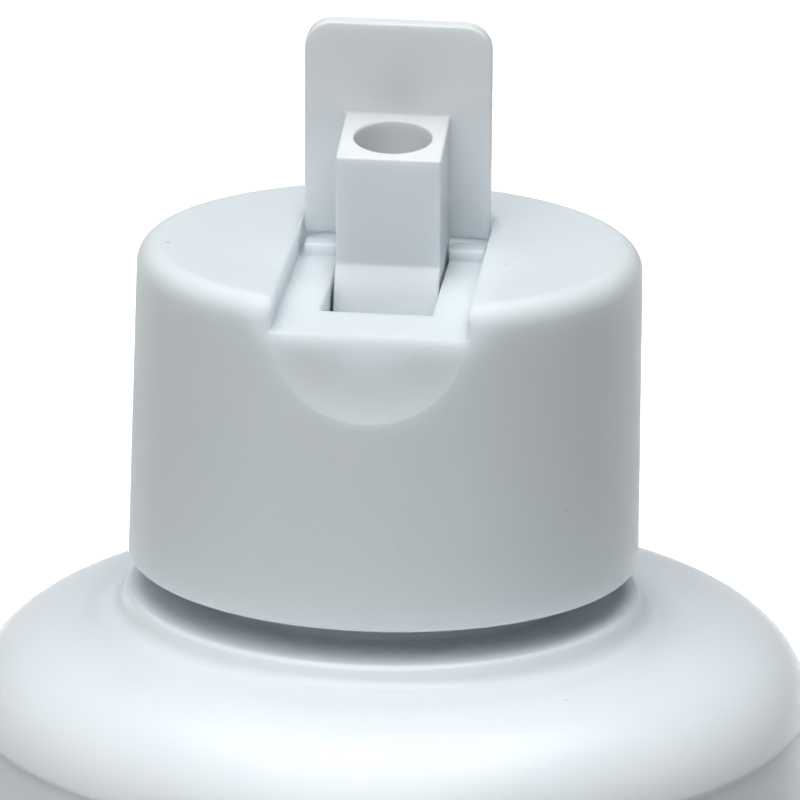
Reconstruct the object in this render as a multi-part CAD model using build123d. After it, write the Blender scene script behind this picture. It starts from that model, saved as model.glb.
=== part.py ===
"""White round plastic bottle with a smooth screw cap and a flip-up turret spout.

Three mouldings: the blown bottle, the cap that screws on its neck, and the turret,
which is one piece with its lever plate, square spout, hub and pivot pins.
Millimetres, +Z up. The origin is the centre of the bottle's base on the ground, and
-Y is the front, the side that the spout folds down towards.
"""
from build123d import *
import os
from math import cos, radians, sin, sqrt

# Bottle body, on its own axis
BODY_R = 28.55            # shoulder edge and heel band
PANEL_RECESS = 0.35       # the label panel lies this much inside them
HEEL_TOP = 12.0
SHOULDER_EDGE = 112.0     # height of the shoulder's lower edge
PANEL_BEVEL = 0.4
HEEL_RADIUS = 4.5
FOOT_R = 21.5             # inner edge of the standing ring
PUSH_UP = 3.2             # how far the base is domed inwards
PUSH_UP_FLAT = 0.35       # part of the dome's radius that is flat
WALL = 1.1
SHOULDER_TOP_R = 16.5     # the shoulder runs in under the collar to here
SHOULDER_RISE = 6.54      # from the shoulder's edge to its flat crown
SHOULDER_FLAT = 8.5       # pull of the flat crown on the curve
SHOULDER_TURN = 3.42      # pull of the upright edge
SHOULDER_TURN_IN = 0.43

# Neck: it leans a little to +X, and the cap leans with it
NECK_LEAN = 1.15
NECK_X = -0.42
CAP_ABOVE_EDGE = 10.2     # cap's bottom edge above the shoulder's edge
COLLAR_R = 17.75
COLLAR_TAPER = 0.35
COLLAR_EDGE = 0.25        # bevels at the collar's top and foot
COLLAR_FOOT = 0.45
CAP_GAP = 2.25            # from the collar's top to the cap's bottom edge
NECK_R = 12.65
BORE_R = 11.0
NECK_TOP = 11.2           # rim above the cap's bottom edge
RIM_EDGE = 0.4

# Cap: heights from its bottom edge
CAP_R = 17.25
CAP_TOP_R = 16.9
CAP_H = 21.75
CAP_EDGE = 1.5
CAP_LIP = 0.3
CAP_WALL = 1.1
CAP_TOP = 1.3
SLEEVE_GAP = 1.3          # room for the thread between neck and sleeve
SLEEVE_WALL = 1.05
SLEEVE_UP = 1.0
PLUG_GAP = 0.25
PLUG_WALL = 1.0
PLUG_DEPTH = 2.5          # how far the sealing plug reaches into the neck
RIB = 0.9
RIB_COUNT = 8
RIB_CLEAR = 0.2
SHELL_RIB_UP = 6.0

# Channel across the cap's top, and the scoop for the thumb below its front
CHANNEL_W = 12.9
CHANNEL_DEPTH = 2.02
CHANNEL_BACK = 9.0
CHANNEL_CORNER = 1.5
FLOOR = 1.2
SCOOP_R = 14.25
SCOOP_Y = -29.9
SCOOP_Z = 20.2
SCOOP_WALL = 1.0

# Turret, measured from its pivot: U runs up along the spout, V to the back
PIVOT_Y = 2.6
TURRET_LEAN = 10.0        # how far it leans forward of upright, as it stands
SPOUT_W = 7.0
SPOUT_D = 7.2
SPOUT_UP = 12.0
SPOUT_EDGE = 0.35
SPOUT_HOLE_R = 2.62
SPOUT_HOLE_END_R = 2.1
HUB_R = 5.55
PLATE_W = 12.6
PLATE_T = 1.05
PLATE_UP = 18.58
PLATE_FOOT = 3.0
PLATE_CORNER = 1.95
PLATE_EDGE = 0.15
PIN_R = 1.5
PIN_L = 1.6
PIN_CHAMFER = 0.3

# Well that the spout folds into
SIDE_GAP = 0.2
TURN_GAP = 0.3
TIP_GAP = 0.17
WELL_WALL = 1.2
PIN_GAP = 0.06
PIN_END_GAP = 0.2
PIN_BOSS = 1.0
PAD_H = 0.8
PAD_FRONT = 3.3
PAD_BACK = 5.3
PAD_SIDE_GAP = 0.35
LIP_GAP = 0.08
LIP_WALL = 0.8

FLOOR_Z = CAP_H - CHANNEL_DEPTH
PLATE_V = SPOUT_D / 2
PIVOT_Z = CAP_H - PLATE_T - PLATE_V     # the shut plate lies flush with the cap's top
WELL_W = SPOUT_W + 2 * SIDE_GAP
SLEEVE_R = NECK_R + SLEEVE_GAP
PLUG_R = BORE_R - PLUG_GAP
UNDER_TOP = CAP_H - CAP_TOP

CAP_PLACE = Pos(NECK_X, 0, SHOULDER_EDGE + CAP_ABOVE_EDGE) * Rot(0, NECK_LEAN, 0)
TURRET_PLACE = CAP_PLACE * Pos(0, PIVOT_Y, PIVOT_Z) * Rot(TURRET_LEAN, 0, 0)


def turned(*edges):
    """Turn a closed half outline, drawn as (radius, height), about the Z axis."""
    return revolve(Plane.XZ * make_face(Curve() + list(edges)), Axis.Z)


def block(x, y, z):
    """A box between pairs of limits."""
    size = [limits[1] - limits[0] for limits in (x, y, z)]
    return Pos(x[0], y[0], z[0]) * Box(*size, align=Align.MIN)


def disc(r, low, high):
    """A plain cylinder about the Z axis, between two heights."""
    return Pos(0, 0, (low + high) / 2) * Cylinder(r, high - low)


def ring(outer, inner, low, high):
    """A plain tube about the Z axis."""
    return disc(outer, low, high) - disc(inner, low, high)


def cross_bar(r, width, y=0, z=0):
    """A cylinder that lies along X."""
    return Pos(0, y, z) * Rot(0, 90, 0) * Cylinder(r, width)


def body_form(inset):
    """The bottle's body as a solid of revolution, its whole skin moved in by inset."""
    r = BODY_R - inset
    panel = r - PANEL_RECESS
    edge = SHOULDER_EDGE
    crown = edge + SHOULDER_RISE - inset
    heel = HEEL_RADIUS - inset
    push_up = PUSH_UP + inset
    dome_r = FOOT_R * PUSH_UP_FLAT
    flat = SHOULDER_FLAT * (1 - inset / (BODY_R - SHOULDER_TOP_R))
    rise = SHOULDER_TURN * (1 - inset / SHOULDER_RISE)
    base = Line((0, push_up), (dome_r, push_up))
    dome = Spline((dome_r, push_up), (FOOT_R, inset), tangents=((1, 0), (1, -0.35)))
    stand = Line((FOOT_R, inset), (r - heel, inset))
    turn = RadiusArc((r - heel, inset), (r, inset + heel), -heel)
    side = Polyline(
        (r, inset + heel), (r, HEEL_TOP), (panel, HEEL_TOP + PANEL_BEVEL),
        (panel, edge - PANEL_BEVEL), (r, edge),
    )
    shoulder = Bezier(
        (r, edge), (r - SHOULDER_TURN_IN, edge + rise),
        (SHOULDER_TOP_R + flat, crown), (SHOULDER_TOP_R, crown),
    )
    close = Polyline((SHOULDER_TOP_R, crown), (0, crown), (0, push_up))
    return turned(base, dome, stand, turn, side, shoulder, close)


def collar_and_neck():
    """The round collar under the cap and the plain neck, in the cap's frame."""
    foot = SHOULDER_RISE - CAP_ABOVE_EDGE - 2 * COLLAR_FOOT
    collar = turned(Polyline(
        (0, foot), (COLLAR_R, foot), (COLLAR_R - COLLAR_TAPER, -CAP_GAP),
        (0, -CAP_GAP), (0, foot),
    ))
    collar = chamfer(collar.edges().group_by(Axis.Z)[-1], COLLAR_EDGE)
    neck = disc(NECK_R, -CAP_GAP - COLLAR_EDGE, NECK_TOP)
    return collar, chamfer(neck.edges().group_by(Axis.Z)[-1], RIM_EDGE)


def collar_foot():
    """The bevel where the leaning collar stands on the upright shoulder."""
    spread = 2 * COLLAR_FOOT + COLLAR_TAPER
    bevel = Cone(COLLAR_R + 2 * COLLAR_FOOT, COLLAR_R - COLLAR_TAPER, spread)
    centre = CAP_PLACE * Pos(0, 0, SHOULDER_RISE - CAP_ABOVE_EDGE)
    crown = SHOULDER_EDGE + SHOULDER_RISE
    return Pos(centre.position.X, 0, crown + COLLAR_TAPER / 2) * bevel


def make_bottle():
    """The blown bottle: body, round collar, plain neck, all hollow."""
    collar, neck = collar_and_neck()
    outside = body_form(0) + CAP_PLACE * collar + collar_foot() + CAP_PLACE * neck
    low = SHOULDER_RISE - CAP_ABOVE_EDGE - 2 * WALL
    collar_room = disc(COLLAR_R - COLLAR_TAPER - WALL, low, -CAP_GAP - WALL)
    bore = disc(BORE_R, low, NECK_TOP + 1)
    return outside - body_form(WALL) - CAP_PLACE * (collar_room + bore)


def cap_form(inset):
    """The cap's plain form: its outside, or with an inset the space inside it."""
    top = CAP_H - (CAP_TOP if inset else 0)
    form = turned(Polyline(
        (0, 0), (CAP_R - inset, 0), (CAP_TOP_R - inset, top), (0, top), (0, 0),
    ))
    rim = form.edges().filter_by(GeomType.CIRCLE).group_by(Axis.Z)[-1]
    return form if inset else fillet(rim, CAP_EDGE)


def well_profile(gap):
    """Side outline of the well: the spout's trough and the hub's round seat."""
    front = PIVOT_Y - sqrt(SPOUT_UP**2 + PLATE_V**2) - TIP_GAP - (gap - TURN_GAP)
    low = PIVOT_Z - PLATE_V - gap
    trough = Pos((front + PIVOT_Y) / 2, (low + CAP_H) / 2) * Rectangle(
        PIVOT_Y - front, CAP_H - low
    )
    seat = Pos(PIVOT_Y, PIVOT_Z) * Circle(HUB_R + gap)
    return trough + seat


def well_solid(gap, half_width):
    """The well's outline pushed out to both sides."""
    return extrude(Plane.YZ * well_profile(gap), half_width, both=True)


def cap_inside():
    """Everything below the cap's top: sleeve, plug, ribs, well and pin bosses."""
    sleeve = ring(SLEEVE_R + SLEEVE_WALL, SLEEVE_R, SLEEVE_UP, UNDER_TOP)
    plug = ring(PLUG_R, PLUG_R - PLUG_WALL, NECK_TOP - PLUG_DEPTH, UNDER_TOP)
    well = well_solid(TURN_GAP + WELL_WALL, WELL_W / 2 + WELL_WALL)
    well &= block((-CAP_R, CAP_R), (-CAP_R, CAP_R), (0, FLOOR_Z))
    bosses = cross_bar(
        PIN_R + PIN_GAP + PIN_BOSS, SPOUT_W + 2 * (PIN_L + PIN_END_GAP + PIN_BOSS),
        PIVOT_Y, PIVOT_Z,
    )
    inner_rib = block(
        (PLUG_R - PLUG_WALL / 2, SLEEVE_R + SLEEVE_WALL / 2), (-RIB / 2, RIB / 2),
        (NECK_TOP + RIB_CLEAR, UNDER_TOP),
    )
    outer_rib = block(
        (SLEEVE_R + SLEEVE_WALL / 2, CAP_TOP_R - CAP_WALL / 2), (-RIB / 2, RIB / 2),
        (SHELL_RIB_UP, UNDER_TOP),
    )
    turn = 360 / RIB_COUNT
    ribs = [
        Rot(0, 0, turn * (k + 0.5)) * rib
        for k in range(RIB_COUNT) for rib in (inner_rib, outer_rib)
    ]
    return sleeve + [plug, well, bosses] + ribs


def channel_cut():
    """The open channel across the top, square at the front and rounded behind."""
    length = CHANNEL_BACK + 2 * CAP_R
    cut = block(
        (-CHANNEL_W / 2, CHANNEL_W / 2), (CHANNEL_BACK - length, CHANNEL_BACK),
        (FLOOR_Z, CAP_H + 1),
    )
    back = cut.edges().filter_by(Axis.Z).group_by(Axis.Y)[-1]
    return fillet(back, CHANNEL_CORNER)


def channel_tray():
    """Floor and side walls of the channel, before it is cut."""
    half = CHANNEL_W / 2 + CAP_WALL
    tray = block(
        (-half, half), (-CAP_R, CHANNEL_BACK + CAP_WALL), (FLOOR_Z - FLOOR, CAP_H)
    )
    scoop_back = cross_bar(SCOOP_R + SCOOP_WALL, 2 * half, SCOOP_Y, SCOOP_Z)
    scoop_back &= block((-half, half), (-CAP_R, 0), (SCOOP_Z - CAP_R / 2, FLOOR_Z))
    return tray + scoop_back


def rest_pads():
    """Two low pads on the channel's floor, just in front of the raised lever's foot."""
    inner = WELL_W / 2
    outer = CHANNEL_W / 2 - PAD_SIDE_GAP
    height = (FLOOR_Z - FLOOR / 2, FLOOR_Z + PAD_H)
    depth = (PAD_FRONT, PAD_BACK)
    return block((inner, outer), depth, height) + block((-outer, -inner), depth, height)


def seat_lip():
    """The short spout under the hub, with its saddle-shaped sealing lip."""
    low = PIVOT_Z - HUB_R - TURN_GAP - WELL_WALL
    tube = Pos(0, PIVOT_Y, 0) * ring(
        SPOUT_HOLE_END_R + LIP_WALL, SPOUT_HOLE_END_R, low, PIVOT_Z
    )
    return tube - cross_bar(HUB_R + LIP_GAP, CAP_R, PIVOT_Y, PIVOT_Z)


def make_cap():
    """The smooth double-walled screw cap with its channel, well and thumb scoop."""
    outside = cap_form(0)
    lip = outside.edges().filter_by(GeomType.CIRCLE).group_by(Axis.Z)[0]
    outside = chamfer(lip, CAP_LIP)
    cap = outside - cap_form(CAP_WALL)
    cap += cap_inside() & outside
    cap += channel_tray() & outside
    cap -= channel_cut()
    cap -= cross_bar(SCOOP_R, CHANNEL_W, SCOOP_Y, SCOOP_Z) & block(
        (-CAP_R, CAP_R), (SCOOP_Y, 0), (0, FLOOR_Z)
    )
    cap -= well_solid(TURN_GAP, WELL_W / 2)
    cap -= cross_bar(
        PIN_R + PIN_GAP, SPOUT_W + 2 * (PIN_L + PIN_END_GAP), PIVOT_Y, PIVOT_Z
    )
    cap += rest_pads()
    cap -= Pos(0, PIVOT_Y, 0) * disc(SPOUT_HOLE_END_R, 0, PIVOT_Z)
    cap += seat_lip()
    return CAP_PLACE * cap


def make_turret():
    """Lever plate, square spout, hub and pivot pins in one piece, about the pivot."""
    half = SPOUT_W / 2
    back = PLATE_V + PLATE_T
    hub = cross_bar(HUB_R, SPOUT_W) & block(
        (-half, half), (-HUB_R, back), (-HUB_R, HUB_R)
    )
    spout = block((-half, half), (-PLATE_V, back), (0, SPOUT_UP))
    tip = spout.edges().group_by(Axis.Z)[-1].group_by(Axis.Y)[0]
    spout = fillet(tip, SPOUT_EDGE)
    plate = block(
        (-PLATE_W / 2, PLATE_W / 2), (PLATE_V, back), (PLATE_FOOT, PLATE_UP)
    )
    corners = plate.edges().filter_by(Axis.Y).group_by(Axis.Z)[-1]
    plate = fillet(corners, PLATE_CORNER)
    rim = plate.faces().sort_by(Axis.Y)
    plate = chamfer(rim[0].edges() + rim[-1].edges(), PLATE_EDGE)
    pins = cross_bar(PIN_R, SPOUT_W + 2 * PIN_L)
    ends = pins.edges().filter_by(GeomType.CIRCLE)
    pins = chamfer(ends, PIN_CHAMFER)
    hole = Pos(0, 0, (SPOUT_UP - HUB_R) / 2) * Cone(
        SPOUT_HOLE_END_R, SPOUT_HOLE_R, SPOUT_UP + HUB_R
    )
    return TURRET_PLACE * (hub + spout + plate + pins - hole)


def main():
    """Build the pieces and write one STEP file each."""
    os.makedirs("parts", exist_ok=True)
    pieces = {"bottle": make_bottle(), "cap": make_cap(), "turret": make_turret()}
    for name, piece in pieces.items():
        export_step(piece, f"parts/{name}.step")
        box = piece.bounding_box()
        print(name, round(piece.volume, 1), box.min, box.max)
    axis = (sin(radians(NECK_LEAN)), 0, cos(radians(NECK_LEAN)))
    print("neck axis", [round(a, 6) for a in axis], "at", CAP_PLACE.position)
    print("turret pivot", TURRET_PLACE.position)


main()
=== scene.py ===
import logging
import math
from dataclasses import dataclass
from enum import Enum
from typing import Iterable, Sequence

import bmesh
import bpy
from mathutils import Matrix, Vector
from mathutils.geometry import interpolate_bezier


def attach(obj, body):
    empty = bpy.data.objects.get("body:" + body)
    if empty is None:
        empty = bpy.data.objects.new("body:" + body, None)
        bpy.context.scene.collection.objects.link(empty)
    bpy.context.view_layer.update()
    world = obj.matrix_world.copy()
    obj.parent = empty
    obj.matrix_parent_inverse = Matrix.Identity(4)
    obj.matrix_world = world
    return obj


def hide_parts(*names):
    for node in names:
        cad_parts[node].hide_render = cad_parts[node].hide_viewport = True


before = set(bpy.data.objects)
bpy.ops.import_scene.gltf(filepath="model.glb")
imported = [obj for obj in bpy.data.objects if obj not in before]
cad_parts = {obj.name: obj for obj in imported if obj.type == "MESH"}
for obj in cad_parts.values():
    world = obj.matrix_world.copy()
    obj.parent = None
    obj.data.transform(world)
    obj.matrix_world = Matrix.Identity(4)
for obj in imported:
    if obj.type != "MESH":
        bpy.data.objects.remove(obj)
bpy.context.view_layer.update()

log = logging.getLogger("bottle")
MM = 0.001                     # one millimetre in metres
UM = 1e-6                      # one micrometre in metres
TAU = 2 * math.pi
ROUND = 256                    # facets round the large turned forms
CAP_FACETS = 90                # round the cap, so that none ends at the scoop's side walls
FINE = 128                     # facets round bars and the cap's hollow
MIDDLE = 96                    # facets round the spout's hole, the floor and a turn of thread
SMALL = 48                     # facets round pins, sockets and small holes
FAR = 30.0                     # millimetres, past every side of the cap, for cutters
ASIDE = 20.0                   # millimetres, past the hub and the scoop, for cutters


# Shader maths


class Value:
    """A socket that can be used in a Python expression."""

    def __init__(self, graph: "Graph", socket: bpy.types.NodeSocket) -> None:
        """Keep the socket and the graph that it belongs to.

        Args:
            graph: The graph that new nodes are added to.
            socket: The output that this value stands for.
        """
        self.graph = graph
        self.socket = socket

    def _math(self, operation: str, *values: "Value | float") -> "Value":
        """Add one Math node.

        Args:
            operation: The Math node's operation.
            values: Its inputs in order.

        Returns:
            The node's result.
        """
        return self.graph.node(
            "ShaderNodeMath", {"operation": operation}, dict(enumerate(values))
        )

    def __add__(self, other: "Value | float") -> "Value":
        """Return self + other."""
        return self._math("ADD", self, other)

    def __radd__(self, other: float) -> "Value":
        """Return other + self."""
        return self._math("ADD", other, self)

    def __sub__(self, other: "Value | float") -> "Value":
        """Return self - other."""
        return self._math("SUBTRACT", self, other)

    def __rsub__(self, other: float) -> "Value":
        """Return other - self."""
        return self._math("SUBTRACT", other, self)

    def __mul__(self, other: "Value | float") -> "Value":
        """Return self * other."""
        return self._math("MULTIPLY", self, other)

    def __rmul__(self, other: float) -> "Value":
        """Return other * self."""
        return self._math("MULTIPLY", other, self)

    def over(self, low: float, high: float) -> "Value":
        """Rise from 0 at low to 1 at high, and stay there.

        Args:
            low: Where the rise starts.
            high: Where it ends.

        Returns:
            The clamped share.
        """
        return self.graph.node(
            "ShaderNodeMapRange", {"clamp": True},
            {"Value": self, "From Min": low, "From Max": high},
        )


class Graph:
    """The node graph of one material."""

    def __init__(self, name: str) -> None:
        """Start a material with an empty graph.

        Args:
            name: The material's name.
        """
        self.material = bpy.data.materials.new(name)
        self.material.use_nodes = True
        self.tree = self.material.node_tree
        self.tree.nodes.clear()

    def node(
        self,
        kind: str,
        settings: dict[str, object] | None = None,
        inputs: dict[int | str, object] | None = None,
        output: int | str = 0,
    ) -> Value:
        """Add a node, set its options, then fill its sockets.

        Args:
            kind: The node's Blender type.
            settings: Attributes of the node, such as an operation.
            inputs: Numbers, colours or values, by socket name or index.
            output: The output that is returned.

        Returns:
            The chosen output as a value.
        """
        made = self.tree.nodes.new(kind)
        for key, setting in (settings or {}).items():
            setattr(made, key, setting)
        for key, given in (inputs or {}).items():
            if isinstance(given, Value):
                self.tree.links.new(given.socket, made.inputs[key])
            else:
                made.inputs[key].default_value = given
        return Value(self, made.outputs[output])

    def finish(self, shader: Value) -> None:
        """Link the shader to the material's output.

        Args:
            shader: The material's shader.
        """
        out = self.tree.nodes.new("ShaderNodeOutputMaterial")
        self.tree.links.new(shader.socket, out.inputs["Surface"])

    def place(self) -> Value:
        """Return the object's own coordinates, in metres."""
        return self.node("ShaderNodeTexCoord", output="Object")

    def noise(self, size_mm: float, detail: float = 2.0, stretch_z: float = 1.0) -> Value:
        """Add fractal noise on the object's coordinates.

        Args:
            size_mm: The size of its largest blobs.
            detail: Number of finer octaves.
            stretch_z: Above 1 the blobs are drawn out along Z.

        Returns:
            The noise, about 0.5.
        """
        where = self.node(
            "ShaderNodeMapping", {}, {"Vector": self.place(), "Scale": (1, 1, 1 / stretch_z)}
        )
        return self.node(
            "ShaderNodeTexNoise", {},
            {"Vector": where, "Scale": 1 / (size_mm * MM), "Detail": detail},
        )

    def mix(self, share: Value, low: object, high: object) -> Value:
        """Blend two colours.

        Args:
            share: 0 gives the first colour and 1 the second.
            low: The first colour.
            high: The second colour.

        Returns:
            The blended colour.
        """
        return self.node(
            "ShaderNodeMix", {"data_type": "RGBA"}, {0: share, 6: low, 7: high}, 2
        )

    def spot(self, centre: tuple[float, float, float], size: float) -> Value:
        """Add a small round spot with a soft edge.

        Args:
            centre: Its centre on the object, in millimetres.
            size: Its radius in millimetres.

        Returns:
            1 in its middle and 0 outside it.
        """
        gap = self.node(
            "ShaderNodeVectorMath", {"operation": "DISTANCE"},
            {0: self.place(), 1: [c * MM for c in centre]}, "Value",
        )
        return 1 - gap.over(0.4 * size * MM, size * MM)


@dataclass(frozen=True)
class Mark:
    """A small spot of colour, placed in millimetres: a speck, a tick or a nick left by use, or a
    pale painted highlight where a nick catches the light.
    """

    place: tuple[float, float, float]
    size: float = 0.2
    share: float = 0.3
    tint: tuple[float, float, float] = (0.3, 0.31, 0.33)


@dataclass(frozen=True)
class PlasticFinish:
    """Moulded white plastic: a faint mottle, mould grain, dust specks and soft gloss."""

    name: str
    tint: tuple[float, float, float]
    shade: tuple[float, float, float]
    roughness: float = 0.42
    gloss: float = 0.35
    glow_through: float = 1.0
    glow_mm: float = 3.0
    cloud_mm: float = 9.0
    cloud_share: float = 0.7
    streak_mm: float = 1.4
    streak_long: float = 9.0
    mottle_low: float = 0.36
    mottle_high: float = 0.64
    grain_mm: float = 0.35
    grain_um: float = 2.0
    ripple_mm: float = 6.0
    ripple_um: float = 6.0
    rough_swing: float = 0.1
    speck_mm: float = 2.6
    speck_um: float = 20.0
    speck_share: float = 0.05
    speck_strength: float = 0.55
    speck_dark: float = 0.62
    speck_rough: float = 0.2
    marks: tuple[Mark, ...] = ()

    def material(self) -> bpy.types.Material:
        """Build the finish.

        Returns:
            A material whose nodes vary its colour, roughness and relief.
        """
        graph = Graph(self.name)
        cloud = graph.noise(self.cloud_mm, 3.0)
        streak = graph.noise(self.streak_mm, 3.0, stretch_z=self.streak_long)
        mottle = cloud * self.cloud_share + streak * (1 - self.cloud_share)
        colour = graph.mix(
            mottle.over(self.mottle_low, self.mottle_high), (*self.shade, 1), (*self.tint, 1)
        )
        cells = graph.node(
            "ShaderNodeTexVoronoi", {},
            {"Vector": graph.place(), "Scale": 1 / (self.speck_mm * MM)},
        )
        chosen = graph.noise(self.speck_mm * 1.7, 0.0).over(0.66, 0.7)
        speck = (1 - cells.over(self.speck_share * 0.6, self.speck_share)) * chosen
        dust = (*(c * self.speck_dark for c in self.tint), 1)
        colour = graph.mix(speck * self.speck_strength, colour, dust)
        # Small spots mixed over the colour: dark specks and ticks of dust or wear, and pale
        # painted highlights on nicks.
        for mark in self.marks:
            spot = graph.spot(mark.place, mark.size)
            colour = graph.mix(spot * mark.share, colour, (*mark.tint, 1))
        grain = graph.noise(self.grain_mm, 2.0)
        ripple = graph.noise(self.ripple_mm, 1.0)
        height = (
            grain * (self.grain_um * UM)
            + ripple * (self.ripple_um * UM)
            + speck * (self.speck_um * UM)
        )
        bump = graph.node(
            "ShaderNodeBump", {}, {"Strength": 1.0, "Distance": 1.0, "Height": height}
        )
        swing = self.rough_swing
        rough = self.roughness - swing / 2 + swing * mottle + self.speck_rough * speck
        shader = graph.node(
            "ShaderNodeBsdfPrincipled", {},
            {
                "Base Color": colour, "Roughness": rough, "Normal": bump,
                "IOR": 1.49, "Specular IOR Level": self.gloss,
                "Subsurface Weight": self.glow_through,
                "Subsurface Radius": (1.0, 1.0, 1.0), "Subsurface Scale": self.glow_mm * MM,
            },
        )
        graph.finish(shader)
        return graph.material


# Forms


class Cut(Enum):
    """How one form works on another."""

    AWAY = "DIFFERENCE"
    TOGETHER = "UNION"
    SHARED = "INTERSECT"


class Form:
    """A closed mesh in millimetres that is shaped, then placed as a piece."""

    def __init__(self, bm: bmesh.types.BMesh) -> None:
        """Turn a bmesh into an object.

        Args:
            bm: The mesh being edited; it is freed here.
        """
        bmesh.ops.recalc_face_normals(bm, faces=bm.faces)
        mesh = bpy.data.meshes.new("form")
        bm.to_mesh(mesh)
        bm.free()
        self.object = bpy.data.objects.new("form", mesh)
        bpy.context.scene.collection.objects.link(self.object)

    def _settle(self) -> None:
        """Apply the object's modifiers."""
        graph = bpy.context.evaluated_depsgraph_get()
        mesh = bpy.data.meshes.new_from_object(
            self.object.evaluated_get(graph), depsgraph=graph
        )
        self.object.modifiers.clear()
        self.object.data = mesh

    def _combine(self, other: "Form", cut: Cut) -> "Form":
        """Work on this form with another, which is used up.

        Args:
            other: The other form.
            cut: What is done with it.

        Returns:
            This form.
        """
        modifier = self.object.modifiers.new("cut", "BOOLEAN")
        modifier.operation = cut.value
        modifier.solver = "EXACT"
        modifier.object = other.object
        self._settle()
        bpy.data.objects.remove(other.object)
        return self._in_order()

    def _in_order(self) -> "Form":
        """Sort the mesh by place, because a cut's order differs from run to run.

        Returns:
            This form.
        """
        bm = self.edit()
        for parts, key in (
            (bm.verts, lambda v: tuple(v.co)),
            (bm.edges, lambda e: sorted(v.index for v in e.verts)),
            (bm.faces, lambda f: sorted(v.index for v in f.verts)),
        ):
            rank = {part: k for k, part in enumerate(sorted(parts, key=key))}
            parts.sort(key=rank.get)
            parts.index_update()
        return self.keep(bm)

    def __sub__(self, other: "Form") -> "Form":
        """Return this form with the other cut away."""
        return self._combine(other, Cut.AWAY)

    def __add__(self, other: "Form") -> "Form":
        """Return this form and the other in one."""
        return self._combine(other, Cut.TOGETHER)

    def __and__(self, other: "Form") -> "Form":
        """Return what the two forms share."""
        return self._combine(other, Cut.SHARED)

    def edit(self) -> bmesh.types.BMesh:
        """Return an editable copy of the mesh."""
        bm = bmesh.new()
        bm.from_mesh(self.object.data)
        return bm

    def keep(self, bm: bmesh.types.BMesh) -> "Form":
        """Write an edited mesh back.

        Args:
            bm: The edited mesh; it is freed here.

        Returns:
            This form.
        """
        bm.to_mesh(self.object.data)
        bm.free()
        return self

    def tidied(self, join: float = 0.02) -> "Form":
        """Merge close points and flat neighbours.

        Args:
            join: Distance under which points are merged.

        Returns:
            This form.
        """
        bm = self.edit()
        bmesh.ops.remove_doubles(bm, verts=bm.verts, dist=join)
        bmesh.ops.dissolve_degenerate(bm, edges=bm.edges, dist=join)
        bmesh.ops.dissolve_limit(
            bm, angle_limit=math.radians(0.4), verts=bm.verts, edges=bm.edges,
            use_dissolve_boundaries=False, delimit=set(),
        )
        return self.keep(bm)

    def split(self) -> "Form":
        """Split its many-sided faces, so that none runs round a hole.

        Returns:
            This form.
        """
        bm = self.edit()
        many = [f for f in bm.faces if len(f.verts) > 4]
        bmesh.ops.triangulate(bm, faces=many, quad_method="BEAUTY", ngon_method="BEAUTY")
        return self.keep(bm)

    def eased(self, width: float, segments: int = 5, angle: float = 35.0) -> "Form":
        """Round all its sharp edges a little.

        Args:
            width: The bevel's width.
            segments: Facets across it.
            angle: Edges sharper than this, in degrees, are rounded.

        Returns:
            This form.
        """
        modifier = self.object.modifiers.new("ease", "BEVEL")
        modifier.width = width
        modifier.segments = segments
        modifier.limit_method = "ANGLE"
        modifier.angle_limit = math.radians(angle)
        modifier.use_clamp_overlap = False
        self._settle()
        return self

    def piece(
        self, name: str, place: Matrix, body: str, slot: str, finish: bpy.types.Material,
        sharp: float = 20.0,
    ) -> bpy.types.Object:
        """Place the form, dress it and let it ride.

        Args:
            name: The piece's name.
            place: Where its frame, in millimetres, lies in the object's.
            body: The CAD body that carries it.
            slot: The record's material slot; not used.
            finish: Its material.
            sharp: Edges over this angle, in degrees, stay crisp.

        Returns:
            The finished object.
        """
        modifier = self.object.modifiers.new("normals", "WEIGHTED_NORMAL")
        modifier.keep_sharp = True
        self.object.data.shade_smooth()
        self.object.data.set_sharp_from_angle(angle=math.radians(sharp))
        self._settle()
        mesh = self.object.data
        mesh.transform(Matrix.Scale(MM, 4) @ place)
        mesh.materials.clear()
        mesh.materials.append(finish)
        self.object.name = mesh.name = name
        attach(self.object, body)
        return self.object


def turned(points: Sequence[tuple[float, float]], facets: int = ROUND) -> bmesh.types.BMesh:
    """Spin a closed half outline about Z.

    Args:
        points: The outline as (radius, height).
        facets: Number of facets round it.

    Returns:
        The turned mesh.
    """
    bm = bmesh.new()
    verts = [bm.verts.new((r, 0, z)) for r, z in points]
    pairs = list(zip(verts, verts[1:]))
    if points[0][0] > 0 or points[-1][0] > 0:
        pairs.append((verts[-1], verts[0]))
    edges = [bm.edges.new(pair) for pair in pairs]
    bmesh.ops.spin(
        bm, geom=verts + edges, axis=(0, 0, 1), cent=(0, 0, 0), dvec=(0, 0, 0),
        angle=TAU, steps=facets, use_merge=True, use_normal_flip=False,
        use_duplicate=False,
    )
    bmesh.ops.remove_doubles(bm, verts=bm.verts, dist=1e-4)
    bmesh.ops.recalc_face_normals(bm, faces=bm.faces)
    return bm


def round_ring(
    bm: bmesh.types.BMesh, radius: float, height: float, fillet: float, segments: int
) -> None:
    """Round a ring edge of a turned mesh.

    Args:
        bm: The turned mesh.
        radius: The ring's radius.
        height: The ring's height.
        fillet: The rounding's radius.
        segments: Facets across it.
    """
    def on_ring(v: bmesh.types.BMVert) -> bool:
        """Tell whether a point lies on the ring."""
        return (
            abs(v.co.z - height) < 1e-3 and abs(math.hypot(v.co.x, v.co.y) - radius) < 1e-3
        )

    ring = [e for e in bm.edges if on_ring(e.verts[0]) and on_ring(e.verts[1])]
    bmesh.ops.bevel(
        bm, geom=ring, offset=fillet, offset_type="OFFSET", segments=segments,
        profile=0.5, affect="EDGES", clamp_overlap=False, material=-1,
    )


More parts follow.
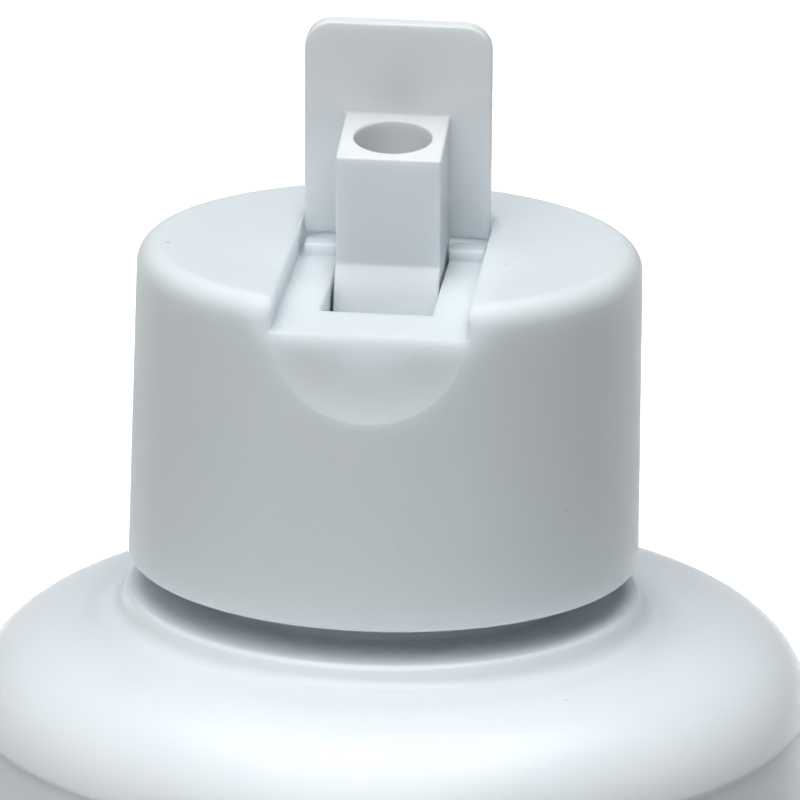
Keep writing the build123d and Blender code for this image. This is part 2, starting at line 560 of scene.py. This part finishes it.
def block(
    x: tuple[float, float], y: tuple[float, float], z: tuple[float, float]
) -> bmesh.types.BMesh:
    """Make a box between pairs of limits.

    Args:
        x: Lowest and highest X.
        y: Lowest and highest Y.
        z: Lowest and highest Z.

    Returns:
        The box.
    """
    bm = bmesh.new()
    bmesh.ops.create_cube(bm, size=1.0)
    bmesh.ops.scale(bm, vec=(x[1] - x[0], y[1] - y[0], z[1] - z[0]), verts=bm.verts)
    centre = Vector([(a + b) / 2 for a, b in (x, y, z)])
    bmesh.ops.translate(bm, vec=centre, verts=bm.verts)
    return bm


def bar(
    radius: float, width: float, y: float = 0.0, z: float = 0.0, facets: int = FINE,
    end_radius: float | None = None, axis: str = "X",
) -> bmesh.types.BMesh:
    """Make a round bar along X or Z.

    Args:
        radius: Its radius at the low end.
        width: Its length.
        y: Its axis's Y.
        z: Its middle's Z.
        facets: Number of facets round it.
        end_radius: Its radius at the high end, if it tapers.
        axis: "X" or "Z".

    Returns:
        The bar.
    """
    bm = bmesh.new()
    bmesh.ops.create_cone(
        bm, cap_ends=True, cap_tris=False, segments=facets, radius1=radius,
        radius2=radius if end_radius is None else end_radius, depth=width,
    )
    if axis == "X":
        turn = Matrix.Rotation(math.pi / 2, 3, "Y")
        bmesh.ops.rotate(bm, cent=(0, 0, 0), matrix=turn, verts=bm.verts)
    bmesh.ops.translate(bm, vec=(0, y, z), verts=bm.verts)
    return bm


def round_upright(
    bm: bmesh.types.BMesh, chosen: Iterable[bmesh.types.BMEdge], fillet: float, segments: int
) -> bmesh.types.BMesh:
    """Round chosen edges of a box.

    Args:
        bm: The box.
        chosen: The edges.
        fillet: The rounding's radius.
        segments: Facets across it.

    Returns:
        The same mesh.
    """
    bmesh.ops.bevel(
        bm, geom=list(chosen), offset=fillet, offset_type="OFFSET", segments=segments,
        profile=0.5, affect="EDGES", clamp_overlap=True, material=-1,
    )
    return bm


def along(edge: bmesh.types.BMEdge, axis: int) -> bool:
    """Tell whether an edge lies along an axis (0, 1, 2)."""
    d = edge.verts[1].co - edge.verts[0].co
    return abs(d[axis]) > 0.99 * d.length


def curve(*knots: tuple[float, float], steps: int = 24) -> list[tuple[float, float]]:
    """Lay points along one cubic curve.

    Args:
        knots: Start, first handle, second handle, end.
        steps: Number of points.

    Returns:
        The points, both ends among them.
    """
    a, b, c, d = (Vector((*k, 0)) for k in knots)
    return [(p.x, p.y) for p in interpolate_bezier(a, b, c, d, steps)]


def arc(
    centre: tuple[float, float], radius: float, start: float, end: float, steps: int = 10
) -> list[tuple[float, float]]:
    """Lay points along an arc.

    Args:
        centre: Its centre.
        radius: Its radius.
        start: First angle in degrees.
        end: Last angle in degrees.
        steps: Number of points.

    Returns:
        The points, both ends among them.
    """
    angles = [math.radians(start + (end - start) * k / (steps - 1)) for k in range(steps)]
    return [(centre[0] + radius * math.cos(a), centre[1] + radius * math.sin(a)) for a in angles]


# The pieces


@dataclass(frozen=True)
class Lean:
    """How the neck and all that sits on it leans from the bottle's axis."""

    degrees: float = 1.15
    aside: float = -0.42
    cap_base: float = 122.2

    @property
    def matrix(self) -> Matrix:
        """The cap's frame in the bottle's, in millimetres."""
        place = Matrix.Translation((self.aside, 0, self.cap_base))
        return place @ Matrix.Rotation(math.radians(self.degrees), 4, "Y")


@dataclass
class Bottle:
    """The blown bottle: body, collar and threaded neck in one hollow skin."""

    lean: Lean
    finish: PlasticFinish
    body_r: float = 28.55
    panel_recess: float = 0.35
    panel_round: float = 0.14
    heel_top: float = 12.0
    edge: float = 112.0
    bevel: float = 0.4
    heel: float = 4.5
    foot_r: float = 21.5
    foot_rise: float = 1.9
    push_up: float = 3.2
    wall: float = 1.1
    shoulder_top_r: float = 16.5
    shoulder_rise: float = 6.54
    shoulder_flat: float = 8.5
    shoulder_turn: float = 3.42
    shoulder_turn_in: float = 0.43
    collar_r: float = 17.75
    collar_taper: float = 0.35
    collar_gap: float = 2.25
    collar_edge: float = 0.35
    collar_fillet: float = 0.7
    foot_clear: float = 0.1
    foot_lift: float = 0.01
    lean_full: float = 0.9
    lean_none: float = 3.2
    neck_r: float = 12.65
    neck_foot: float = 0.5
    neck_rim: float = 0.4
    bore_r: float = 11.0
    bore_rim: float = 0.2
    neck_top: float = 11.2
    thread_r: float = 13.2
    thread_sink: float = 0.2
    thread_low: float = 2.0
    thread_base: float = 1.5
    thread_crest: float = 0.7
    thread_pitch: float = 3.0
    thread_turns: float = 1.4

    def _skin(self, inset: float) -> list[tuple[float, float]]:
        """Outline the body from the base's centre to the shoulder's crown.

        Args:
            inset: How far it is moved in.

        Returns:
            The outline as (radius, height).
        """
        r = self.body_r - inset
        panel = r - self.panel_recess
        crown = self.edge + self.shoulder_rise - inset
        heel = self.heel - inset
        up = self.push_up + inset
        flat = self.shoulder_flat * (1 - inset / (self.body_r - self.shoulder_top_r))
        rise = self.shoulder_turn * (1 - inset / self.shoulder_rise)
        dome = curve(
            (self.foot_r * 0.35, up), (self.foot_r * 0.62, up),
            (self.foot_r * 0.75, inset + self.foot_rise), (self.foot_r, inset), steps=14,
        )
        shoulder = curve(
            (r, self.edge), (r - self.shoulder_turn_in, self.edge + rise),
            (self.shoulder_top_r + flat, crown), (self.shoulder_top_r, crown), steps=40,
        )
        return [
            (0, up), *dome, *arc((r - heel, inset + heel), heel, -90, 0, 12),
            (r, self.heel_top), (panel, self.heel_top + self.bevel),
            (panel, self.edge - self.bevel), *shoulder,
        ]

    def _lean_over(self, bm: bmesh.types.BMesh) -> None:
        """Lean the neck, and blend the lean out over the shoulder's crown.

        Args:
            bm: The upright bottle.
        """
        place = self.lean.matrix @ Matrix.Translation((0, 0, -self.lean.cap_base))
        near, far = self.collar_r + self.lean_full, self.collar_r + self.lean_none
        for v in bm.verts:
            if v.co.z < self.edge:
                continue
            share = (far - math.hypot(v.co.x, v.co.y)) / (far - near)
            share = min(max(share, 0.0), 1.0)
            share *= share * (3 - 2 * share)
            v.co = v.co.lerp(place @ v.co, share)

    def mesh(self) -> Form:
        """Build the hollow bottle in one skin.

        Returns:
            The form, in the bottle's frame.
        """
        base = self.lean.cap_base
        shelf = base - self.collar_gap
        clear = self.collar_r + self.collar_fillet + self.foot_clear
        outer = [p for p in self._skin(0) if not (p[0] < clear and p[1] > self.edge)]
        room_r = self.collar_r - self.collar_taper - self.wall
        inner = [p for p in self._skin(self.wall) if not (p[0] < room_r and p[1] > self.edge)]
        foot = (self.collar_r, outer[-1][1] + self.foot_lift)
        rim = base + self.neck_top
        crown_in = inner[-1][1]
        points = [
            *outer, foot, (self.collar_r - self.collar_taper, shelf), (self.neck_r, shelf),
            (self.neck_r, rim), (self.bore_r, rim), (self.bore_r, shelf - self.wall),
            (room_r, shelf - self.wall), (room_r, crown_in), *reversed(inner),
        ]
        bm = turned(points)
        round_ring(bm, foot[0], foot[1], self.collar_fillet, 6)
        round_ring(bm, self.collar_r - self.collar_taper, shelf, self.collar_edge, 4)
        round_ring(bm, self.neck_r, shelf, self.neck_foot, 3)
        round_ring(bm, self.neck_r, rim, self.neck_rim, 3)
        round_ring(bm, self.bore_r, rim, self.bore_rim, 2)
        panel = self.body_r - self.panel_recess
        for r, z in (
            (self.body_r, self.edge), (panel, self.edge - self.bevel),
            (self.body_r, self.heel_top), (panel, self.heel_top + self.bevel),
        ):
            round_ring(bm, r, z, self.panel_round, 2)
        self._lean_over(bm)
        return Form(bm)

    def thread(self) -> Form:
        """Build the neck's thread as a helical ridge.

        Returns:
            The form, in the cap's frame.
        """
        bm = bmesh.new()
        low, root = self.thread_low, self.neck_r - self.thread_sink
        foot, crest = self.thread_base / 2, self.thread_crest / 2
        verts = [
            bm.verts.new((r, 0, z)) for r, z in (
                (root, low - foot), (self.thread_r, low - crest),
                (self.thread_r, low + crest), (root, low + foot),
            )
        ]
        face = bm.faces.new(verts)
        steps = int(MIDDLE * self.thread_turns)
        bmesh.ops.spin(
            bm, geom=[*verts, *face.edges, face], axis=(0, 0, 1), cent=(0, 0, 0),
            dvec=(0, 0, self.thread_pitch * self.thread_turns / steps),
            angle=TAU * self.thread_turns, steps=steps, use_merge=False,
            use_normal_flip=False, use_duplicate=False,
        )
        return Form(bm)

    def dress(self) -> list[bpy.types.Object]:
        """Make both pieces and give them their finish.

        Returns:
            The finished objects.
        """
        material = self.finish.material()
        skin = self.mesh().piece(
            "bottle_skin", Matrix.Identity(4), "bottle", "bottle_plastic", material
        )
        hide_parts("bottle")
        thread = self.thread().piece(
            "neck_thread", self.lean.matrix, "bottle", "bottle_plastic", material
        )
        return [skin, thread]


@dataclass
class Closure:
    """Sizes that the cap and the turret share, in the cap's frame."""

    lean: Lean
    cap_h: float = 21.75
    channel_depth: float = 2.02
    pivot_y: float = 2.6
    turret_lean: float = 10.0
    spout_w: float = 7.0
    spout_d: float = 7.2
    spout_up: float = 12.0
    hub_r: float = 5.55
    plate_t: float = 1.05
    pin_r: float = 1.5
    pin_l: float = 1.6

    @property
    def floor_z(self) -> float:
        """Height of the channel's floor."""
        return self.cap_h - self.channel_depth

    @property
    def pivot_z(self) -> float:
        """Height of the turret's pivot."""
        return self.cap_h - self.plate_t - self.spout_d / 2

    @property
    def turret_matrix(self) -> Matrix:
        """The turret's frame in the bottle's, in millimetres."""
        place = Matrix.Translation((0, self.pivot_y, self.pivot_z))
        lean = Matrix.Rotation(math.radians(self.turret_lean), 4, "X")
        return self.lean.matrix @ place @ lean


@dataclass
class ScrewCap:
    """The smooth double-walled cap with its channel, well and thumb scoop."""

    closure: Closure
    finish: PlasticFinish
    cap_r: float = 17.25
    top_r: float = 16.9
    top_edge: float = 1.5
    lip: float = 0.3
    wall: float = 1.1
    top: float = 1.3
    sleeve_r: float = 13.95
    sleeve_wall: float = 1.05
    sleeve_up: float = 1.0
    plug_r: float = 10.75
    plug_wall: float = 1.0
    plug_up: float = 8.7
    rib: float = 0.9
    rib_count: int = 8
    rib_sink: float = 0.5
    rib_up_inside: float = 11.4
    rib_up_outside: float = 6.0
    channel_w: float = 12.9
    channel_back: float = 9.0
    channel_corner: float = 1.5
    floor: float = 1.2
    scoop_r: float = 14.25
    scoop_y: float = -29.9
    scoop_z: float = 20.2
    scoop_wall: float = 1.0
    scoop_low: float = 10.0
    scoop_inset: float = 0.1
    side_gap: float = 0.2
    turn_gap: float = 0.3
    tip_gap: float = 0.17
    well_wall: float = 1.2
    pad: tuple[float, float] = (3.3, 5.3)
    pad_h: float = 0.8
    pad_sink: float = 0.4
    pad_gap: float = 0.35
    pin_gap: float = 0.06
    end_gap: float = 0.2
    boss_wall: float = 1.0
    hollow_low: float = -2.0
    hole_r: float = 2.1
    hole_reach: float = 12.0
    ease: float = 0.14

    def _hollow(self) -> Form:
        """Build the space under the cap's top, less the walls that stand in it.

        Returns:
            The form, in the cap's frame.
        """
        c = self.closure
        under = c.cap_h - self.top
        sleeve, plug = self.sleeve_r + self.sleeve_wall, self.plug_r - self.plug_wall
        hollow = Form(turned([
            (0, self.hollow_low), (self.cap_r - self.wall, self.hollow_low),
            (self.cap_r - self.wall, 0), (self.top_r - self.wall, under),
            (sleeve, under), (sleeve, self.sleeve_up),
            (self.sleeve_r, self.sleeve_up), (self.sleeve_r, under), (self.plug_r, under),
            (self.plug_r, self.plug_up), (plug, self.plug_up), (plug, under), (0, under),
        ], FINE))
        half = self.channel_w / 2 + self.wall
        tray = Form(block(
            (-half, half), (-FAR, self.channel_back + self.wall), (c.floor_z - self.floor, FAR)
        ))
        hollow -= tray
        back = Form(bar(self.scoop_r + self.scoop_wall, 2 * half, self.scoop_y, self.scoop_z))
        hollow -= back & Form(block((-ASIDE, ASIDE), (-FAR, 0), (self.scoop_low, c.floor_z)))
        half = c.spout_w / 2 + self.side_gap + self.well_wall
        front, low = self._well_front() - self.well_wall, self._well_low() - self.well_wall
        hollow -= Form(block((-half, half), (front, c.pivot_y), (low, FAR)))
        seat_r = c.hub_r + self.turn_gap + self.well_wall
        hollow -= Form(bar(seat_r, 2 * half, c.pivot_y, c.pivot_z))
        boss_r = c.pin_r + self.pin_gap + self.boss_wall
        width = c.spout_w + 2 * (c.pin_l + self.end_gap + self.boss_wall)
        hollow -= Form(bar(boss_r, width, c.pivot_y, c.pivot_z, SMALL))
        for k in range(self.rib_count):
            turn = Matrix.Rotation(TAU * (k + 0.5) / self.rib_count, 3, "Z")
            for x, z in (
                (
                    (self.plug_r - self.rib_sink, self.sleeve_r + self.rib_sink),
                    (self.rib_up_inside, FAR),
                ),
                ((self.sleeve_r + self.rib_sink, self.cap_r), (self.rib_up_outside, FAR)),
            ):
                rib = block(x, (-self.rib / 2, self.rib / 2), z)
                bmesh.ops.rotate(rib, cent=(0, 0, 0), matrix=turn, verts=rib.verts)
                hollow -= Form(rib)
        return hollow

    def _scooped(self, cap: Form) -> Form:
        """Cut the thumb scoop, and round the brink that it leaves on the floor.

        Args:
            cap: The solid cap with its channel.

        Returns:
            The same form.
        """
        width = self.channel_w - self.scoop_inset
        cap -= Form(bar(self.scoop_r, width, self.scoop_y, self.scoop_z, ROUND))
        bm = cap.edit()
        level = self.closure.floor_z
        brink = [
            e for e in bm.edges
            if along(e, 0) and e.calc_length() > self.channel_w / 2
            and all(abs(v.co.z - level) < 0.01 and v.co.y < -self.scoop_r for v in e.verts)
        ]
        bmesh.ops.bevel(
            bm, geom=brink, offset=self.ease, offset_type="OFFSET", segments=4,
            profile=0.5, affect="EDGES", clamp_overlap=True, material=-1,
        )
        return cap.keep(bm)

    def _well_front(self) -> float:
        """Return the Y of the well's front wall, which the spout's corner just clears."""
        c = self.closure
        return c.pivot_y - math.hypot(c.spout_up, c.spout_d / 2) - self.tip_gap

    def _well_low(self) -> float:
        """Return the height of the well's floor."""
        c = self.closure
        return c.pivot_z - c.spout_d / 2 - self.turn_gap

    def mesh(self) -> Form:
        """Build the cap: the outside first, with eased edges, then the hollows.

        Returns:
            The form, in the cap's frame.
        """
        c = self.closure
        body = turned(
            [(0, 0), (self.cap_r, 0), (self.top_r, c.cap_h), (0, c.cap_h)], CAP_FACETS
        )
        round_ring(body, self.top_r, c.cap_h, self.top_edge, 10)
        round_ring(body, self.cap_r, 0, self.lip, 8)
        cap = Form(body)
        half = self.channel_w / 2
        channel = block((-half, half), (-FAR, self.channel_back), (c.floor_z, FAR))
        back = [
            e for e in channel.edges
            if along(e, 2) and abs(e.verts[0].co.y - self.channel_back) < 1e-3
        ]
        cap -= Form(round_upright(channel, back, self.channel_corner, 8))
        outer = half - self.pad_gap
        pad_z = (c.floor_z - self.pad_sink, c.floor_z + self.pad_h)
        cap += Form(block((-outer, outer), self.pad, pad_z))
        side = c.spout_w / 2 + self.side_gap
        well = Form(block((-side, side), (self._well_front(), c.pivot_y), (self._well_low(), FAR)))
        well += Form(bar(c.hub_r + self.turn_gap, 2 * side, c.pivot_y, c.pivot_z))
        cap -= well
        cap = self._scooped(cap.tidied().split().eased(self.ease))
        cap -= self._hollow()
        socket = c.spout_w + 2 * (c.pin_l + self.end_gap)
        cap -= Form(bar(c.pin_r + self.pin_gap, socket, c.pivot_y, c.pivot_z, SMALL))
        cap -= Form(bar(self.hole_r, 2 * self.hole_reach, c.pivot_y, 0, SMALL, axis="Z"))
        return cap

    def dress(self) -> list[bpy.types.Object]:
        """Make the cap and give it its finish.

        Returns:
            The finished object, in a list.
        """
        cap = self.mesh().piece(
            "cap_shell", self.closure.lean.matrix, "cap", "cap_plastic", self.finish.material()
        )
        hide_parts("cap")
        return [cap]


@dataclass
class Turret:
    """The flip-up spout: lever plate, square spout, hub and pins in one piece."""

    closure: Closure
    finish: PlasticFinish
    hole_r: float = 2.62
    hole_end_r: float = 2.1
    plate_w: float = 12.6
    plate_up: float = 18.58
    plate_foot: float = 3.0
    plate_corner: float = 1.95
    plate_sink: float = 0.5
    pin_bevel: float = 0.3
    through_gap: float = 0.2
    through_l: float = 8.0
    ease: float = 0.15

    def mesh(self) -> Form:
        """Build the turret about its pivot.

        Returns:
            The form, in the turret's frame.
        """
        c = self.closure
        half, front = c.spout_w / 2, c.spout_d / 2
        back = front + c.plate_t
        hub = Form(bar(c.hub_r, c.spout_w))
        hub -= Form(block((-ASIDE, ASIDE), (back, ASIDE), (-ASIDE, ASIDE)))
        column = block((-half, half), (-front, front + self.plate_sink), (0, c.spout_up))
        spout = hub + Form(column)
        side = self.plate_w / 2
        plate = block((-side, side), (front, back), (self.plate_foot, self.plate_up))
        top = [
            e for e in plate.edges
            if along(e, 1) and abs(e.verts[0].co.z - self.plate_up) < 1e-3
        ]
        spout += Form(round_upright(plate, top, self.plate_corner, 10))
        length = c.spout_up + c.hub_r + 2
        slope = (self.hole_r - self.hole_end_r) / (c.spout_up + c.hub_r)
        spout -= Form(bar(
            self.hole_end_r - slope, length, 0, (c.spout_up - c.hub_r) / 2, MIDDLE,
            self.hole_r + slope, "Z",
        ))
        spout = spout.tidied().eased(self.ease)
        pins = bar(c.pin_r, c.spout_w + 2 * c.pin_l, 0, 0, SMALL)
        ends = [e for e in pins.edges if not along(e, 0)]
        bmesh.ops.bevel(
            pins, geom=ends, offset=self.pin_bevel, offset_type="OFFSET", segments=1,
            profile=0.5, affect="EDGES", clamp_overlap=True, material=-1,
        )
        through_r = self.hole_end_r + self.through_gap
        through = Form(bar(through_r, self.through_l, 0, 0, SMALL, axis="Z"))
        spout += Form(pins) - through
        return spout

    def dress(self) -> list[bpy.types.Object]:
        """Make the turret and give it its finish.

        Returns:
            The finished object, in a list.
        """
        turret = self.mesh().piece(
            "turret_spout", self.closure.turret_matrix, "turret", "turret_plastic",
            self.finish.material(),
        )
        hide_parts("turret")
        return [turret]


# The studio


@dataclass(frozen=True)
class Softbox:
    """One soft rectangular lamp, placed in metres."""

    name: str
    spot: tuple[float, float, float]
    aim: tuple[float, float, float]
    size: tuple[float, float]
    power: float
    colour: tuple[float, float, float] = (1.0, 1.0, 1.0)
    spread: float = 180.0

    def switch_on(self) -> None:
        """Add the lamp to the scene."""
        data = bpy.data.lights.new(self.name, "AREA")
        data.shape = "RECTANGLE"
        data.size, data.size_y = self.size
        data.energy = self.power
        data.color = self.colour
        data.spread = math.radians(self.spread)
        lamp = bpy.data.objects.new(self.name, data)
        bpy.context.scene.collection.objects.link(lamp)
        lamp.location = self.spot
        way = Vector(self.aim) - Vector(self.spot)
        lamp.rotation_euler = way.to_track_quat("-Z", "Y").to_euler()


@dataclass
class Studio:
    """Floor, soft light and camera.

    The camera stands in the cap's frame, with its distances in cap radii (unit). Yaw is in
    degrees, pitch and roll in radians, and the floor's sizes are in metres.
    """

    lean: Lean
    cap_yaw: float = 4.62
    pitch: float = 0.2908
    roll: float = 0.022
    unit: float = 17.25
    distance: float = 28.0
    across: float = -0.0514
    up: float = 0.5989
    focal_px: float = 7135.7
    image_px: float = 800.0
    sensor_mm: float = 36.0
    room: float = 1.7
    wall_height: float = 0.3
    floor_thick: float = 0.05
    floor_tint: float = 0.5
    floor_glow: float = 0.25
    glow_from: float = 0.4
    glow_to: float = 1.2
    lamps: tuple[Softbox, ...] = (
        Softbox("top", (0.0, 0.0, 0.85), (0, 0, 0.13), (0.7, 0.7), 5.2, (0.94, 0.975, 1.0)),
        Softbox("front_top", (0.0, -0.6, 0.75), (0, 0, 0.13), (0.6, 0.5), 2.8, (0.97, 0.99, 1.0)),
        Softbox("front_left", (-0.4, -0.55, 0.65), (0, 0, 0.13), (0.5, 0.5), 1.1),
        Softbox("behind", (0.0, 0.7, 0.5), (0, 0.7, 0), (1.4, 0.85), 10.5, spread=60.0),
    )

    def camera(self) -> None:
        """Place the camera where the photograph was taken."""
        p = self.pitch
        spot = self.unit * Vector((
            -self.across, -self.distance * math.cos(p) + self.up * math.sin(p),
            self.distance * math.sin(p) + self.up * math.cos(p),
        ))
        ahead = Vector((0, math.cos(p), -math.sin(p)))
        down = Vector((0, -math.sin(p), -math.cos(p)))
        c, s = math.cos(self.roll), math.sin(self.roll)
        right = Vector((c, 0, 0)) - s * down
        down = s * Vector((1, 0, 0)) + c * down
        pose = Matrix((right, -down, -ahead)).transposed().to_4x4()
        pose.translation = spot
        turn = Matrix.Rotation(math.radians(self.cap_yaw), 4, "Z")
        world = self.lean.matrix @ turn @ pose
        world.translation *= MM
        data = bpy.data.cameras.new("camera")
        data.sensor_width = self.sensor_mm
        data.lens = self.focal_px * self.sensor_mm / self.image_px
        camera = bpy.data.objects.new("camera", data)
        camera.matrix_world = world
        bpy.context.scene.collection.objects.link(camera)
        bpy.context.scene.camera = camera

    def floor(self) -> None:
        """Lay the plain pale floor, which curves up far out as a studio's backdrop does.

        It glows a little where the lamps don't reach.
        """
        far, high, thick = self.room, self.wall_height, self.floor_thick
        rise = curve((far * 0.6, 0), (far * 0.85, 0), (far, high / 3), (far, high), steps=12)
        rim = far + thick
        bm = turned([(0, 0), *rise, (rim, high), (rim, -thick), (0, -thick)], MIDDLE)
        mesh = bpy.data.meshes.new("pale_floor")
        bm.to_mesh(mesh)
        bm.free()
        mesh.shade_smooth()
        mesh.set_sharp_from_angle(angle=math.radians(40))
        graph = Graph("pale_floor")
        away = graph.node(
            "ShaderNodeVectorMath", {"operation": "LENGTH"}, {0: graph.place()}, "Value"
        )
        glow = graph.mix(
            away.over(self.glow_from, self.glow_to), (0, 0, 0, 1), (1, 1, 1, 1)
        )
        graph.finish(graph.node(
            "ShaderNodeBsdfPrincipled", {},
            {
                "Base Color": (*[self.floor_tint] * 3, 1), "Roughness": 0.9,
                "Specular IOR Level": 0.1, "Emission Color": glow,
                "Emission Strength": self.floor_glow,
            },
        ))
        mesh.materials.append(graph.material)
        floor = bpy.data.objects.new("pale_floor", mesh)
        bpy.context.scene.collection.objects.link(floor)

    def build(self) -> None:
        """Set up floor, lamps and camera."""
        self.floor()
        self.camera()
        for lamp in self.lamps:
            lamp.switch_on()
        world = bpy.data.worlds.new("dark_room")
        world.use_nodes = True
        world.node_tree.nodes["Background"].inputs["Strength"].default_value = 0.0
        bpy.context.scene.world = world
        bpy.context.scene.view_settings.view_transform = "Standard"


def main() -> None:
    """Build the pieces and the studio, in order, and report each piece."""
    logging.basicConfig(level=logging.INFO, format="%(name)s: %(message)s")
    lean = Lean()
    closure = Closure(lean)
    bottle = Bottle(lean, PlasticFinish(
        "bottle_white", tint=(0.9, 0.95, 0.985), shade=(0.885, 0.94, 0.98), roughness=0.32,
        gloss=0.5, glow_through=0.4, glow_mm=2.0, marks=(
            Mark((13.01, -13.89, 118.3), 0.16, 0.3), Mark((13.01, -13.89, 117.95), 0.16, 0.3),
        ),
    ))
    cap = ScrewCap(closure, PlasticFinish(
        "cap_white", tint=(0.795, 0.88, 0.945), shade=(0.78, 0.87, 0.94), marks=(
            Mark((-14.72, -2.29, 144.25), 0.16, 0.5), Mark((-14.6, -2.34, 144.25), 0.16, 0.5),
            Mark((8.09, -4.33, 143.78), 0.18), Mark((0.41, -12.51, 141.92), 0.16),
            # A pale spot on the cap's lower lip: a painted highlight where a nick catches the
            # light.
            Mark((-10.6, -13.92, 122.9), 0.5, 0.6, (0.93, 0.95, 0.96)),
        ),
    ))
    turret = Turret(closure, PlasticFinish(
        "turret_white", tint=(0.795, 0.806, 0.812), shade=(0.78, 0.796, 0.806),
        roughness=0.36, glow_through=0.7, glow_mm=1.0,
    ))
    for part in (bottle, cap, turret):
        for piece in part.dress():
            triangles = sum(len(p.vertices) - 2 for p in piece.data.polygons)
            log.info("%s: %d triangles", piece.name, triangles)
    Studio(lean).build()


if __name__ == "__main__":
    main()
